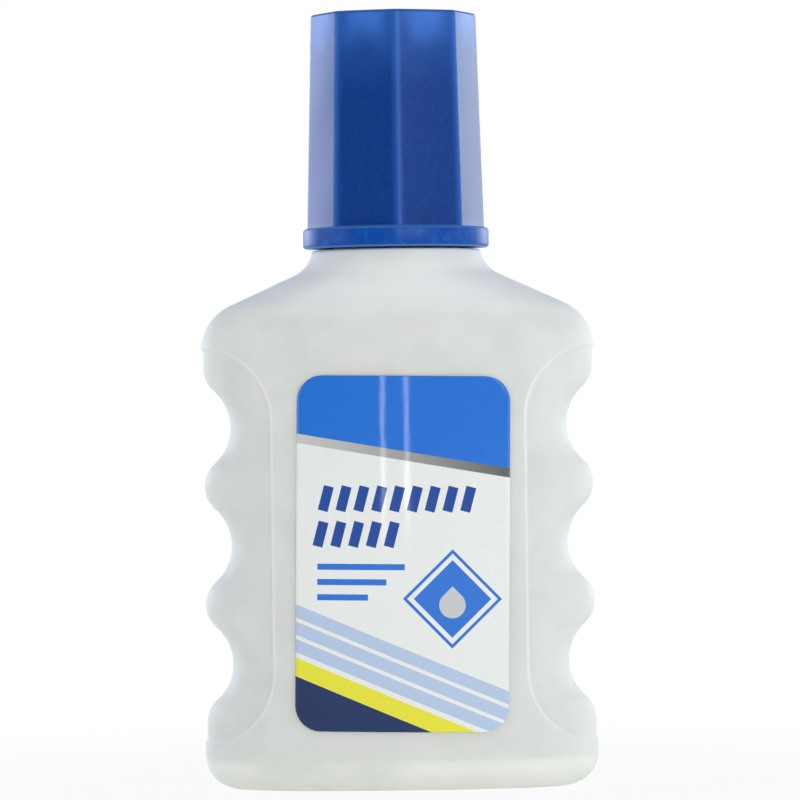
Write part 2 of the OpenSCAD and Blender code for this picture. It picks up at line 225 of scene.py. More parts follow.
def lip_share(distance):
    """1 on the panel's floor and 0 on the body: a rounded lip that ends in a crisp inner corner."""
    u = LIP_ARC * np.clip((LIP_OUT - distance) / (LIP_OUT - LIP_IN), 0, 1)
    return (1 - np.sqrt(1 - u**2)) / (1 - math.sqrt(1 - LIP_ARC**2))


def into_panel(x, y, z, body_w):
    """Moves points of the smooth side into the recessed, scalloped panel if they lie within it."""
    flat = FACE_W / 2
    side = x > flat + PAST_FACE
    x, y, z = (np.where(side, v, s) for v, s in ((x, HALF_W), (y, 0.0), (z, BASE_ROUND)))
    reach = np.hypot(x - flat, y)
    dx, dy = (x - flat) / reach, y / reach
    w = body_w - PANEL_RECESS - valley_at(z)
    low, high = reach * 0.5, reach.copy()
    for _ in range(HALVINGS):
        mid = (low + high) / 2
        px, py = flat + mid * dx, mid * dy
        outside = ((px - flat) / (w - flat)) ** SIDE_POWER + (
            py / (HALF_D - PANEL_RECESS - sag(np.minimum(px, HALF_W)))
        ) ** SIDE_POWER > 1
        low, high = np.where(outside, low, mid), np.where(outside, mid, high)
    inner = (low + high) / 2
    distance = panel_distance(flat + (inner + reach) / 2 * dx, z)
    bead = BEAD_H * np.exp(-(((distance - BEAD_OUT) / BEAD_W) ** 2))
    final = mix(reach, inner, lip_share(distance)) + bead
    return side, flat + final * dx, final * dy


def graded(marks):
    """Places from the first mark to the last, with the spacing given beside each stretch."""
    parts = [
        np.linspace(a, b, max(2, round(abs(b - a) / step) + 1))[:-1]
        for (a, step), (b, _) in zip(marks, marks[1:])
    ]
    return np.concatenate(parts + [[marks[-1][0]]])


def quarter_lines():
    """The values of t that the mesh follows, closest at the panel's lip and at the mould's line."""
    t = np.linspace(FACE_SHARE, 1, 6000)
    x, y = oval(t, HALF_W, HALF_D, FACE_W / 2)
    length = np.concatenate([[0], np.cumsum(np.hypot(np.diff(x), np.diff(y)))])
    places = HALF_W + PANEL_OUT - PANEL_R, HALF_W - 1.6, HALF_W - 0.25
    at_lip, at_bend, at_side = (np.interp(v, x, length) for v in places)
    side = graded([
        (0, 0.4),
        (at_lip - LIP_REACH, LIP_STEP),
        (at_lip + 0.25, 0.25),
        (at_bend, 0.4),
        (at_side, 0.5),
        (length[-1] - 0.45, 0.09),
        (length[-1], 0),
    ])
    return np.concatenate([np.linspace(0, FACE_SHARE, 12)[:-1], np.interp(side, length, t)])


def around(column):
    """A place in quarters round from the front's middle, as t and the signs of x and y."""
    quarter = np.floor(column).astype(int) % 4
    part = column - np.floor(column)
    t = np.where(quarter % 2 == 0, part, 1 - part)
    return t, np.where(quarter < 2, 1, -1), np.where((quarter == 0) | (quarter == 3), -1, 1)


QUARTER = quarter_lines()
COLUMNS = np.concatenate([
    QUARTER[:-1], 2 - QUARTER[:0:-1], 2 + QUARTER[:-1], 4 - QUARTER[:0:-1]
])
SHOULDER = shoulder_rows(0, BODY_H - LAND_EDGE, OUTER_STEPS)
PANEL_LOW, PANEL_HIGH = VALLEYS[0] - PANEL_OVER - PANEL_R, VALLEYS[-1] + PANEL_OVER + PANEL_R
STRAIGHT = graded([
    (BASE_ROUND, 0.5),
    (PANEL_LOW - LIP_REACH, LIP_STEP),
    (PANEL_LOW + 0.5, 0.25),
    (PANEL_LOW + PANEL_R, 0.45),
    (PANEL_HIGH - PANEL_R, 0.25),
    (PANEL_HIGH - 0.5, LIP_STEP),
    (SHOULDER[0, 0], 0),
])
OUTER_ROWS = np.vstack([
    base_rows(0, 0, OUTER_STEPS), [(z, HALF_W, HALF_D, 0) for z in STRAIGHT[1:-1]], SHOULDER
])
# The rows of the shoulder lie close together where the panels reach into its foot
CLOSE = graded([(SHOULDER[0, 0], LIP_STEP), (PANEL_HIGH + LIP_REACH, 0)])
WALL_Z = np.unique(np.round(np.concatenate([OUTER_ROWS[:, 0], CLOSE]), 4))


def wall_points(column, z):
    """The outer wall, with its finger grips and the fine line where the halves of the mould met."""
    t, sx, sy = around(column)
    w, d, blend = (np.interp(z, OUTER_ROWS[:, 0], OUTER_ROWS[:, i]) for i in (1, 2, 3))
    x, y = section(t, w, d, blend, FACE_W / 2 * w / HALF_W)
    reached = (z > BASE_ROUND) & (z < PANEL_HIGH + LIP_OUT + 0.1)
    side, px, py = into_panel(x, y, z, np.where(reached, w, HALF_W))
    x, y = (np.where(side & reached, p, v) for p, v in ((px, x), (py, y)))
    ends = ease(z) * ease(WALL_Z[-1] - z)
    x = x + np.where(t > LINE_FROM, LINE_H * ends * np.exp(-((y / LINE_W) ** 2)), 0)
    return np.column_stack([sx * x, sy * y, z])


def ring(w, d, z, blend=0.0, flat=None):
    """A whole section at one height."""
    t, sx, sy = around(COLUMNS)
    x, y = section(t, w, d, blend, FACE_W / 2 * w / HALF_W if flat is None else flat)
    return np.column_stack([sx * x, sy * y, np.full(len(t), z)])


def round_ring(r, z, angle):
    """A circle at one height, or a round section whose radius changes with the angle."""
    r = np.broadcast_to(r, angle.shape)
    return np.column_stack([r * np.sin(angle), -r * np.cos(angle), np.full(len(angle), z)])


def thread(angle, z, start, end, shift):
    """Height of the thread, from 0 to 1, with a run-in and a run-out."""
    turns = (z - start) / PITCH - angle / (2 * math.pi) - shift
    off = (turns - np.round(turns)) * PITCH
    middle = z - off
    rise = 1 - ease((np.abs(off) - THREAD_CREST) / (THREAD_FOOT - THREAD_CREST))
    return rise * ease((middle - start) / THREAD_RUN) * ease((end - middle) / THREAD_RUN)


def neck_rings():
    """The land, the neck with its thread, the lip and the bore."""
    angle = COLUMNS * math.pi / 2
    rings = [
        round_ring(NECK_R + out, BODY_H + up, angle) for out, up in ((0.35, 0), (0.1, 0.1))
    ]
    for z in np.arange(BODY_H + 0.35, LIP_Z - 0.4, 0.25):
        height = thread(angle, z, *NECK_THREAD, 0)
        rings.append(round_ring(NECK_R + THREAD_H * height, z, angle))
    lip = [(NECK_R, -0.3), (NECK_R - 0.1, -0.09), (NECK_R - 0.3, 0)]
    bore = [(BORE_R + 0.2, 0), (BORE_R + 0.05, -0.06), (BORE_R, -0.25), (BORE_R, -6)]
    end = [(BORE_R, BODY_H - WALL - LIP_Z)]
    return rings + [round_ring(r, LIP_Z + z, angle) for r, z in lip + bore + end]


def cavity_rings():
    """The inside of the wall, from the ceiling down to the floor."""
    inset = PANEL_RECESS + WALL
    shoulder = shoulder_rows(inset, BODY_H - WALL, INNER_STEPS)
    heights = np.arange(BASE_ROUND + 1, shoulder[0, 0] - 0.5, 1.2)
    body = [(z, HALF_W - inset, HALF_D - inset, 0) for z in heights]
    rows = np.vstack([base_rows(inset, BASE_T, INNER_STEPS), body, shoulder])[::-1]
    return [
        ring(w - valley_at(np.array(z)), d, z, blend, FACE_W / 2 * w / (HALF_W - inset))
        for z, w, d, blend in rows
    ]


def base_rings():
    """The underside, from its middle out over the shallow hollow to the rim that it stands on."""
    w, d = HALF_W - BASE_ROUND - REST_RIM, HALF_D - BASE_ROUND_D - REST_RIM
    hollow = [
        ring(w - PUSH_UP_RUN * (1 - k), d - PUSH_UP_RUN * (1 - k), PUSH_UP * float(1 - ease(k)))
        for k in np.linspace(0, 1, 9)
    ]
    return [hollow[0] * (k, k, 1) for k in (0.25, 0.5, 0.75)] + hollow


def skin(bm, rings, close_ends=True):
    """Faces between rings of equally many points, and a fan over each end if wanted."""
    made = [[bm.verts.new(p) for p in points] for points in rings]
    n = len(made[0])
    for a, b in zip(made, made[1:]):
        for i in range(n):
            bm.faces.new((a[i], a[(i + 1) % n], b[(i + 1) % n], b[i]))
    for end in (made[0], made[-1]) if close_ends else ():
        middle = bm.verts.new(np.mean([v.co for v in end], axis=0))
        for i in range(n):
            bm.faces.new((middle, end[i], end[(i + 1) % n]))


def piece(name, bm, material, body, slot, *replaced):
    """Makes a mesh in millimetres a smooth piece that rides on a body in place of its nodes."""
    bmesh.ops.remove_doubles(bm, verts=bm.verts, dist=1e-4)
    bmesh.ops.recalc_face_normals(bm, faces=bm.faces)
    mesh = bpy.data.meshes.new(name)
    bm.to_mesh(mesh)
    bm.free()
    mesh.transform(Matrix.Scale(MM, 4))
    mesh.shade_smooth()
    made = bpy.data.objects.new(name, mesh)
    bpy.context.scene.collection.objects.link(made)
    mesh.materials.append(material)
    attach(made, body)
    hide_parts(*replaced)
    return made


def close_middle(bm, z):
    """Fills the hole in the middle of a level face."""
    rim = [e for e in bm.edges if e.is_boundary and all(abs(v.co.z - z) < 1e-4 for v in e.verts)]
    bmesh.ops.contextual_create(bm, geom=rim)


def blow_moulded_bottle(material):
    """The whole wall: outside, underside, land, neck and cavity."""
    bm = bmesh.new()
    outside = [wall_points(COLUMNS, np.full(len(COLUMNS), z)) for z in WALL_Z]
    skin(bm, outside, close_ends=False)
    rim = ring(HALF_W - BASE_ROUND, HALF_D - BASE_ROUND_D, 0)
    skin(bm, base_rings() + [rim], close_ends=False)
    z, w, d, blend = OUTER_ROWS[-1]
    edge = []
    for a in np.linspace(0, math.pi / 2, EDGE_STEPS + 1):
        back = LAND_EDGE * (1 - math.cos(a))
        edge.append(ring(w - back, d - back, z + LAND_EDGE * math.sin(a), blend))
    skin(bm, edge + neck_rings() + cavity_rings(), close_ends=False)
    for z in (PUSH_UP, BASE_T):
        close_middle(bm, z)
    return piece("bottle_shell", bm, material, "bottle", "bottle_polyethylene", "bottle")


# Shapes of the label, the cap and the applicator


def printed_label(material):
    """A thin film with rounded corners, bent round the front face."""
    corner = np.linspace(0, math.pi / 2, 9)
    high = LABEL_H / 2 - LABEL_R
    top = high + LABEL_R * np.sin(corner)
    heights = np.concatenate([-top[::-1], np.linspace(-high, high, 40)[1:-1], top])
    over = np.clip(np.abs(heights) - high, 0, LABEL_R)
    reach = LABEL_W / 2 - LABEL_R + np.sqrt(LABEL_R**2 - over**2)
    across = np.linspace(-1, 1, 49)
    cos, sin = math.cos(LABEL_LEAN), math.sin(LABEL_LEAN)
    bm = bmesh.new()
    sheets = []
    for r in (FACE_R + LABEL_GLUE + LABEL_T, FACE_R + LABEL_GLUE):
        rows = []
        for z, half in zip(heights, reach):
            x = LABEL_X + half * across * cos + z * sin
            up = LABEL_Z + z * cos - half * across * sin
            y = FACE_R - HALF_D - np.sqrt(r**2 - x**2)
            rows.append([bm.verts.new(p) for p in zip(x, y, up)])
        for a, b in zip(rows, rows[1:]):
            for i in range(len(across) - 1):
                bm.faces.new((a[i], a[i + 1], b[i + 1], b[i]))
        right, left = [row[-1] for row in rows[1:-1]], [row[0] for row in rows[-2:0:-1]]
        sheets.append(rows[0] + right + rows[-1][::-1] + left)
    front, back = sheets
    for i in range(len(front)):
        j = (i + 1) % len(front)
        bm.faces.new((front[i], front[j], back[j], back[i]))
    return piece("label_film", bm, material, "bottle", "label_film", "label")


def facet_ring(ridge_r, z, angle, inward=0.0):
    """A section of the eight-sided cap, with rounded ridges and slightly convex facets."""
    half = math.pi / CAP_SIDES
    flat = (ridge_r + RIDGE_R * (1 / math.cos(half) - 1)) * math.cos(half) - inward
    centre = (flat - RIDGE_R) / math.cos(half)
    off = (angle - CAP_TURNED + half) % (2 * half) - half
    tangent = math.atan2(RIDGE_R * math.sin(half), centre + RIDGE_R * math.cos(half))
    bend = centre * np.cos(off) + np.sqrt(np.maximum(RIDGE_R**2 - (centre * np.sin(off)) ** 2, 0))
    r = np.where(np.abs(off) < tangent, bend, flat / np.cos(half - np.abs(off)))
    across = np.tan(half - np.abs(off)) / math.tan(half - tangent)
    return round_ring(r + CROWN * np.maximum(1 - across**2, 0), z, angle)


def cap_rings():
    """The shell of the cap, from the roof inside down the bore and up the facets to the top."""
    angle = np.linspace(0, 2 * math.pi, 288, endpoint=False)
    top_of_flange = FLANGE_Z + FLANGE_T
    edge_z = CAP_Z - CAP_EDGE

    def ridge(z):
        return mix(CAP_BASE_R, CAP_TOP_R, (z - FLANGE_Z) / (edge_z - FLANGE_Z))

    inside = (1.5, ROOF_Z), (ROOM_R, ROOF_Z), (ROOM_R, LEDGE_Z), (CAP_BORE_R, LEDGE_Z)
    rings = [round_ring(r, z, angle) for r, z in inside]
    # Half a pitch off the neck's thread, so that the two run in each other's gaps
    shift = 0.5 - (NECK_THREAD[0] - CAP_THREAD[0]) / PITCH
    for z in np.arange(LEDGE_Z - 0.2, FLANGE_Z + 0.4, -0.17):
        height = thread(angle, z, *CAP_THREAD, shift)
        rings.append(round_ring(CAP_BORE_R - THREAD_H * height, z, angle))
    for k in (0, 0.5, 1):
        rings.append(
            round_ring(CAP_BORE_R + BORE_CHAMFER * k, FLANGE_Z + BORE_CHAMFER * (1 - k), angle)
        )
    inner = FLANGE_R - FLANGE_EDGE
    corners = (FLANGE_Z + FLANGE_EDGE, -math.pi / 2), (top_of_flange - FLANGE_EDGE, 0)
    for middle, low in corners:
        for a in np.linspace(low, low + math.pi / 2, EDGE_STEPS + 1):
            r, z = inner + FLANGE_EDGE * math.cos(a), middle + FLANGE_EDGE * math.sin(a)
            rings.append(round_ring(r, z, angle))
    for up, out in FOOT:
        rings.append(facet_ring(ridge(top_of_flange), top_of_flange + up, angle, -out))
    for z in np.linspace(top_of_flange + FOOT_TOP, edge_z, 40):
        rings.append(facet_ring(ridge(z), z, angle))
    for a in np.linspace(0, math.pi / 2, 9)[1:]:
        z, inward = edge_z + CAP_EDGE * math.sin(a), CAP_EDGE * (1 - math.cos(a))
        rings.append(facet_ring(CAP_TOP_R, z, angle, inward))
    last = rings[-1]
    return rings + [last * (k, k, 1) for k in (0.8, 0.5, 0.2)]


def moulded_cap(material):
    """The cap's shell, the socket for the stem and the ribs between them."""
    bm = bmesh.new()
    skin(bm, cap_rings())
    socket_top = ROOF_Z + SUNK
    socket = [
        (SOCKET_R, SOCKET_Z),
        (SOCKET_OUTER_R - SOCKET_EDGE, SOCKET_Z),
        (SOCKET_OUTER_R, SOCKET_Z + SOCKET_EDGE),
        (SOCKET_OUTER_R, socket_top),
        (SOCKET_R, socket_top),
        (SOCKET_R, SOCKET_Z),
    ]
    angle = np.linspace(0, 2 * math.pi, 96, endpoint=False)
    skin(bm, [round_ring(r, z, angle) for r, z in socket], close_ends=False)
    size = (ROOM_R - SOCKET_OUTER_R + 2 * SUNK, RIB_T, socket_top - LEDGE_Z)
    middle = (SOCKET_OUTER_R - SUNK + size[0] / 2, 0, LEDGE_Z + size[2] / 2)
    for i in range(RIBS):
        turn = Matrix.Rotation(CAP_TURNED + i * 2 * math.pi / RIBS, 4, "Z")
        place = turn @ Matrix.Translation(middle) @ Matrix.Diagonal((*size, 1))
        bmesh.ops.create_cube(bm, size=1, matrix=place)
    return piece("cap_shell", bm, material, "cap", "cap_polypropylene", "cap")


def moulded_stem(material):
    """A round rod with a thinner tang that the foam is pushed onto."""
    bm = bmesh.new()
    thin, roof = 0.05, ROOF_Z - 0.01
    profile = [
        (thin, TANG_Z),
        (TANG_R - TANG_TAPER, TANG_Z),
        (TANG_R, TANG_Z + TANG_TAPER),
        (TANG_R, FOAM_TOP),
        (STEM_R - STEM_EDGE, FOAM_TOP),
        (STEM_R, FOAM_TOP + STEM_EDGE),
        (STEM_R, roof),
        (thin, roof),
    ]
    angle = np.linspace(0, 2 * math.pi, 72, endpoint=False)
    skin(bm, [round_ring(r, z, angle) for r, z in profile])
    return piece("stem_rod", bm, material, "cap", "stem_polyethylene", "applicator_stem")


def foam_wedge(material):
    """Soft foam that flares to a slanted edge, with its open cells as pits."""
    bm = bmesh.new()
    angle = np.linspace(0, 2 * math.pi, 132, endpoint=False)
    c, n = np.cos(angle), np.sin(angle)
    length = FOAM_TOP - TIP_Z
    rings = []
    for s in np.concatenate([[0, 0.012], np.linspace(0.03, 0.95, 62), [0.97, 0.985, 0.996, 1.0]]):
        half_w = mix(FOAM_NECK_W, FOAM_W, s**2) / 2
        thinned = max(0, (s * length - FOAM_FULL) / (length - FOAM_FULL))
        half_t = mix(FOAM_T, FOAM_EDGE_T, thinned) / 2
        # The rounding takes up the first 3 and the last 6 hundredths of the length
        end = min(s / 0.03, (1 - s) / 0.06, 1)
        shrink = FOAM_EDGE * (1 - math.sqrt(max(0, 1 - (1 - end) ** 2)))
        x = (half_w - shrink) * np.sign(c) * np.abs(c) ** FOAM_POWER
        y = (half_t - min(shrink, half_t * 0.6)) * np.sign(n) * np.abs(n) ** FOAM_POWER
        low = TIP_Z + FOAM_SLANT * (0.5 - x / FOAM_W)
        rings.append(np.column_stack([x, y, FOAM_TOP - s * (FOAM_TOP - low)]))
    skin(bm, rings)
    for v in bm.verts:
        near = noise.voronoi(v.co * CELLS)[0][0]
        pit = max(0.0, CELL_R - near) * CELL_DEPTH
        v.co -= Vector((math.copysign(pit, v.co.x) * 0.6, math.copysign(pit, v.co.y), 0))
    made = piece("foam_wedge", bm, material, "cap", "tip_foam", "foam_tip")
    return made


# Materials


def add(tree, kind, inputs=(), output=0, **settings):
    """Adds a node with its settings, input values and links, and gives one of its outputs."""
    made = tree.nodes.new("ShaderNode" + kind)
    for name, value in settings.items():
        setattr(made, name, value)
    for name, value in inputs.items() if isinstance(inputs, dict) else enumerate(inputs):
        if isinstance(value, bpy.types.NodeSocket):
            tree.links.new(value, made.inputs[name])
        else:
            made.inputs[name].default_value = value
    return made.outputs[output]


def surface(name, **shader_inputs):
    """A material with its shader, its tree and the place on the part in millimetres."""
    made = bpy.data.materials.new(name)
    made.use_nodes = True
    tree = made.node_tree
    shader = tree.nodes["Principled BSDF"]
    for socket, value in shader_inputs.items():
        shader.inputs[socket.replace("_", " ")].default_value = value
    metres = add(tree, "TexCoord", output="Object")
    place = add(tree, "VectorMath", {0: metres, "Scale": 1 / MM}, operation="SCALE")
    return made, tree, shader, place


def soft_mask(tree, strength, *runs):
    """The strength, faded in over each run: a value, where it is 0 and where it is all there."""
    for value, none, full in runs:
        strength = add(
            tree, "MapRange", (value, none, full, 0.0, strength), interpolation_type="SMOOTHSTEP"
        )
    return strength


def painted(tree, colour, *coats):
    """Coats over a colour, each of them with the mask that lets it show."""
    for mask, coat in coats:
        coat = linear(coat) if isinstance(coat, str) else coat
        colour = add(tree, "Mix", {0: mask, 6: colour, 7: coat}, output=2, data_type="RGBA")
    return colour


def tint(tree, shader, place, pale, deep, grain, detail=3.0):
    """Lets the colour wander between two tones over patches of a size in millimetres."""
    patches = add(tree, "TexNoise", {"Vector": place, "Scale": 1 / grain, "Detail": detail})
    spread = add(tree, "MapRange", (patches, 0.3, 0.7))
    colour = painted(tree, linear(deep), (spread, pale))
    tree.links.new(colour, shader.inputs["Base Color"])
    return colour


def relief(tree, shader, place, grain, height, detail=2.0):
    """Raises the surface by a height in millimetres over grains of a size in millimetres."""
    grains = add(tree, "TexNoise", {"Vector": place, "Scale": 1 / grain, "Detail": detail})
    bump = add(tree, "Bump", {"Height": grains, "Distance": height * MM})
    for link in shader.inputs["Normal"].links:
        tree.links.new(link.from_socket, bump.node.inputs["Normal"])
    for socket in ("Normal", "Coat Normal"):
        tree.links.new(bump, shader.inputs[socket])


def blow_moulded_polyethylene():
    """Milky and soft to the eye: light sinks in a little, and the mould leaves a satin skin."""
    made, tree, shader, place = surface(
        "Polyethylene, blow moulded",
        Roughness=0.58,
        IOR=1.5,
        Specular_IOR_Level=0.3,
        Subsurface_Weight=0.5,
        Subsurface_Radius=(1.0, 1.0, 1.0),
        Subsurface_Scale=3.0 * MM,
    )
    colour = tint(tree, shader, place, "e6eae8", "dee2e0", 4.0, 5.0)
    x, _, z = add(tree, "SeparateXYZ", (place,)).node.outputs
    # Painted light: the wall above the fluid is painted paler, standing in for light that passes
    # through the empty neck
    empty = soft_mask(tree, 1.0, (z, 46, 50), (z, 53, 51))
    # Painted highlight: a paler line along the bead on the panels' lip, most of all towards the
    # face
    wide = add(tree, "Math", (x,), operation="ABSOLUTE")
    across = add(tree, "Math", (wide, HALF_W + PANEL_OUT), operation="SUBTRACT")
    nearest = add(tree, "Clamp", (z, VALLEYS[0] - PANEL_OVER, VALLEYS[-1] + PANEL_OVER))
    along = add(tree, "Math", (z, nearest), operation="SUBTRACT")
    from_end = add(tree, "CombineXYZ", (across, along))
    reach = add(tree, "VectorMath", (from_end,), output="Value", operation="LENGTH")
    past = add(tree, "Math", (reach, PANEL_R + BEAD_OUT), operation="SUBTRACT")
    off = add(tree, "Math", (past,), operation="ABSOLUTE")
    bead = soft_mask(tree, 1.0, (off, 0.17, 0.02), (wide, 18.5, 13.5))
    # Painted highlight: a paler band, in places, where the wall turns into the base
    clouds = add(tree, "TexNoise", {"Vector": place, "Scale": 0.12, "Detail": 1.0})
    turn = soft_mask(tree, 0.6, (z, 1.0, 2.2), (z, 3.4, 2.6), (clouds, 0.35, 0.65))
    colour = painted(tree, colour, (empty, "f6fafc"), (bead, "eff2ef"), (turn, "f6f8f6"))
    tree.links.new(colour, shader.inputs["Base Color"])
    relief(tree, shader, place, 1.4, 0.012)
    return made


def moulded_polypropylene():
    """Deep blue with a satin gloss, painted paler as painted light where flange, ridges and thin
    top would pass the light.
    """
    made, tree, shader, place = surface(
        "Polypropylene, injection moulded",
        Roughness=0.34,
        IOR=1.49,
        Specular_IOR_Level=0.18,
        Subsurface_Weight=0.15,
        Subsurface_Radius=(0.2, 0.5, 1.0),
        Subsurface_Scale=1.5 * MM,
    )
    deep = tint(tree, shader, place, "0c4192", "093680", 0.3, 4.0)
    x, y, z = add(tree, "SeparateXYZ", (place,)).node.outputs
    # The angle from the nearest ridge, on the sides and not on the top face
    half = math.pi / CAP_SIDES
    bearing = add(tree, "Math", (x, y), operation="ARCTAN2")
    angle = add(tree, "Math", (bearing, CAP_TURNED), operation="ADD")
    wrapped = add(tree, "Math", (angle, half, -half), operation="WRAP")
    ridge = add(tree, "Math", (wrapped,), operation="ABSOLUTE")
    sides = (z, CAP_Z - 0.1, CAP_Z - 0.4)
    # Painted highlight: a paler strip along each ridge
    painted_ridge_highlight = soft_mask(tree, 0.6, (ridge, 0.09, 0.0), sides)
    # Painted light: pale clouds hang from the top, most of all in the middle of each facet,
    # standing in for light through the thin top
    clouds = add(tree, "TexNoise", {"Vector": place, "Scale": 0.35, "Detail": 1.0})
    drift = add(tree, "Math", (clouds, 2.4, z), operation="MULTIPLY_ADD")
    painted_top_glow = soft_mask(tree, 0.3, (drift, CAP_Z - 8, CAP_Z + 2))
    high = soft_mask(tree, 0.85, (drift, CAP_Z - 3.2, CAP_Z + 1.4), (ridge, 0.0, 0.32), sides)
    # The flange is painted a paler blue, as painted light, with flow marks and painted highlights
    # along its edges
    flow = add(tree, "TexNoise", {"Vector": place, "Scale": 0.8, "Detail": 3.0})
    up = add(tree, "Math", (z, FLANGE_Z + FLANGE_T / 2), operation="SUBTRACT")
    off = add(tree, "Math", (up,), operation="ABSOLUTE")
    marks, edges = soft_mask(tree, 0.6, (flow, 0.45, 0.7)), soft_mask(tree, 0.5, (off, 0.75, 0.92))
    flange = painted(tree, linear("0047a4"), (marks, "1463c0"), (edges, "5f95dc"))
    top = FLANGE_Z + FLANGE_T
    on_flange = soft_mask(tree, 1.0, (z, top + 0.3, top - 0.1))
    # The pale blue of the painted light at the top
    pale = "447fe0"
    coats = (painted_ridge_highlight, "2a64bd"), (painted_top_glow, pale), (high, pale), (on_flange, flange)
    tree.links.new(painted(tree, deep, *coats), shader.inputs["Base Color"])
    relief(tree, shader, place, 0.5, 0.004)
    relief(tree, shader, place, 9.0, 0.15, 0.0)
    return made


def moulded_stem_polyethylene():
    """Natural polyethylene, translucent white with a dull shine."""
    made, tree, shader, place = surface(
        "Polyethylene, injection moulded",
        Roughness=0.4,
        IOR=1.5,
        Subsurface_Weight=0.3,
        Subsurface_Radius=(1.0, 1.0, 1.0),
        Subsurface_Scale=1.0 * MM,
    )
    tint(tree, shader, place, "e8eae8", "dcdfdd", 4.0)
    relief(tree, shader, place, 0.8, 0.006)
    return made


def open_cell_foam():
    """Polyurethane foam, cut to shape: dull, with cells of about 0.4 mm."""
    made, tree, shader, place = surface("Polyurethane foam, cut", Roughness=0.95, IOR=1.45)
    tint(tree, shader, place, "f0ebdd", "d9d2bf", 0.4)
    relief(tree, shader, place, 0.25, 0.12)
    return made


def punched_polyethylene_foam():
    """Closed-cell liner sheet, punched from a roll: white with a fine pebble."""
    made, tree, shader, place = surface("Polyethylene foam, punched", Roughness=0.7, IOR=1.45)
    tint(tree, shader, place, "f2f2ee", "e6e6e1", 0.6)
    relief(tree, shader, place, 0.35, 0.03)
    return made


def liquid_paint():
    """Correction fluid: opaque titanium white in a thin solvent, wet and glossy."""
    made, tree, shader, place = surface("Correction fluid, liquid", Roughness=0.12, IOR=1.42)
    tint(tree, shader, place, "f8f9f7", "f1f3f1", 5.0)
    return made


def ground_steel():
    """Carbon steel ball, ground and tumbled: a bright metal with a fine even grain."""
    made, tree, shader, place = surface("Carbon steel, ground", Roughness=0.25, Metallic=1.0)
    tint(tree, shader, place, "c3c5c8", "b2b4b8", 0.8)
    relief(tree, shader, place, 0.2, 0.002)
    return made


def box_mask(tree, art, centre, half, degrees=0.0):
    """1 within a turned rectangle of the label, seen from the front, and 0 elsewhere."""
    turn = math.radians(degrees)
    cos, sin = math.cos(turn), math.sin(turn)
    sides = []
    for axis, reach in zip(((cos, 0, sin), (-sin, 0, cos)), half):
        along = add(tree, "VectorMath", (art, axis), output="Value", operation="DOT_PRODUCT")
        middle = axis[0] * centre[0] + axis[2] * centre[1]
        sides.append(add(tree, "Math", (along, middle, reach), operation="COMPARE"))
    return add(tree, "Math", sides, operation="MULTIPLY")


def disc_mask(tree, art, centre, r):
    """1 within a circle of the label, seen from the front, and 0 elsewhere."""
    flat = add(tree, "VectorMath", (art, (1, 0, 1)), operation="MULTIPLY")
    middle = (centre[0], 0, centre[1])
    off = add(tree, "VectorMath", (flat, middle), output="Value", operation="DISTANCE")
    return add(tree, "Math", (off, r), operation="LESS_THAN")


def printed_film():
    """Polypropylene film, printed and varnished: crisp inks under a glossy coat."""
    made, tree, shader, place = surface(
        "Polypropylene film, printed and varnished",
        Roughness=0.5,
        IOR=1.5,
        Specular_IOR_Level=0.1,
        Coat_Weight=0.6,
        Coat_Roughness=0.05,
    )
    middle = (LABEL_X, 0, LABEL_Z)
    offset = add(tree, "VectorMath", (place, middle), operation="SUBTRACT")
    straight = {"Vector": offset, "Angle": -LABEL_LEAN}
    art = add(tree, "VectorRotate", straight, rotation_type="Y_AXIS")
    blue, dark_blue, navy, sky = "2775dc", "1a4aa2", "152f63", "b9cdec"
    ground, yellow, grey = "edf1f2", "ece83c", "c9ced2"
    # Longer than the label is wide at any slant of its fields
    long = 30
    # Field across the top, with a slanted lower edge and a silver stripe under it
    across = add(tree, "VectorMath", (art, (1, 0, 0)), output="Value", operation="DOT_PRODUCT")
    silver = add(tree, "MapRange", (across, -LABEL_W / 2, LABEL_W / 2, 0.62, 0.12))
    coats = [
        (box_mask(tree, art, (0, 17.6), (long, 8.3), -9), silver),
        (box_mask(tree, art, (0, 18.3), (long, 8.1), -9), blue),
    ]
    # Slanted bars and plain lines in the middle
    for row, (z, count) in enumerate(((5.4, 9), (1.9, 5))):
        for i in range(count):
            centre = (-7.6 + 1.75 * i - 0.5 * row, z)
            coats.append((box_mask(tree, art, centre, (0.5, 1.25), -14), dark_blue))
    for i, half in enumerate((4.3, 3.4, 2.5)):
        coats.append((box_mask(tree, art, (-8.4 + half, -1.3 - 1.5 * i), (half, 0.3)), blue))
    # Stripes, a field and a yellow band that fall to the right across the foot
    falling = (
        (-9.9, 0.6, sky),
        (-11.6, 0.6, sky),
        (-13.3, 0.6, sky),
        (-25.4, 10, navy),
        (-15.4, 0.85, yellow),
    )
    for z, half, ink in falling:
        coats.append((box_mask(tree, art, (0, z), (long, half), -22), ink))
    # Diamond with a drop
    for half, ink in ((3.45, blue), (3.15, ground), (2.7, blue)):
        coats.append((box_mask(tree, art, (4.9, -4.4), (half, half), 45), ink))
    drop, x, z = 1.3, 4.9, -5.0
    point = box_mask(tree, art, (x, z + drop * math.sqrt(0.5)), (drop / 2, drop / 2), 45)
    coats += [(point, grey), (disc_mask(tree, art, (x, z), drop), grey)]
    colour = painted(tree, linear(ground), *coats)
    # The grain of the print
    dots = add(tree, "TexNoise", {"Vector": art, "Scale": 4.0, "Detail": 3.0})
    grain = add(tree, "MapRange", (dots, 0.3, 0.7, 0.97, 1.02))
    colour = add(tree, "VectorMath", {0: colour, "Scale": grain}, operation="SCALE")
    tree.links.new(colour, shader.inputs["Base Color"])
    relief(tree, shader, place, 2.5, 0.006)
    relief(tree, shader, place, 0.3, 0.0012)
    return made


# The part

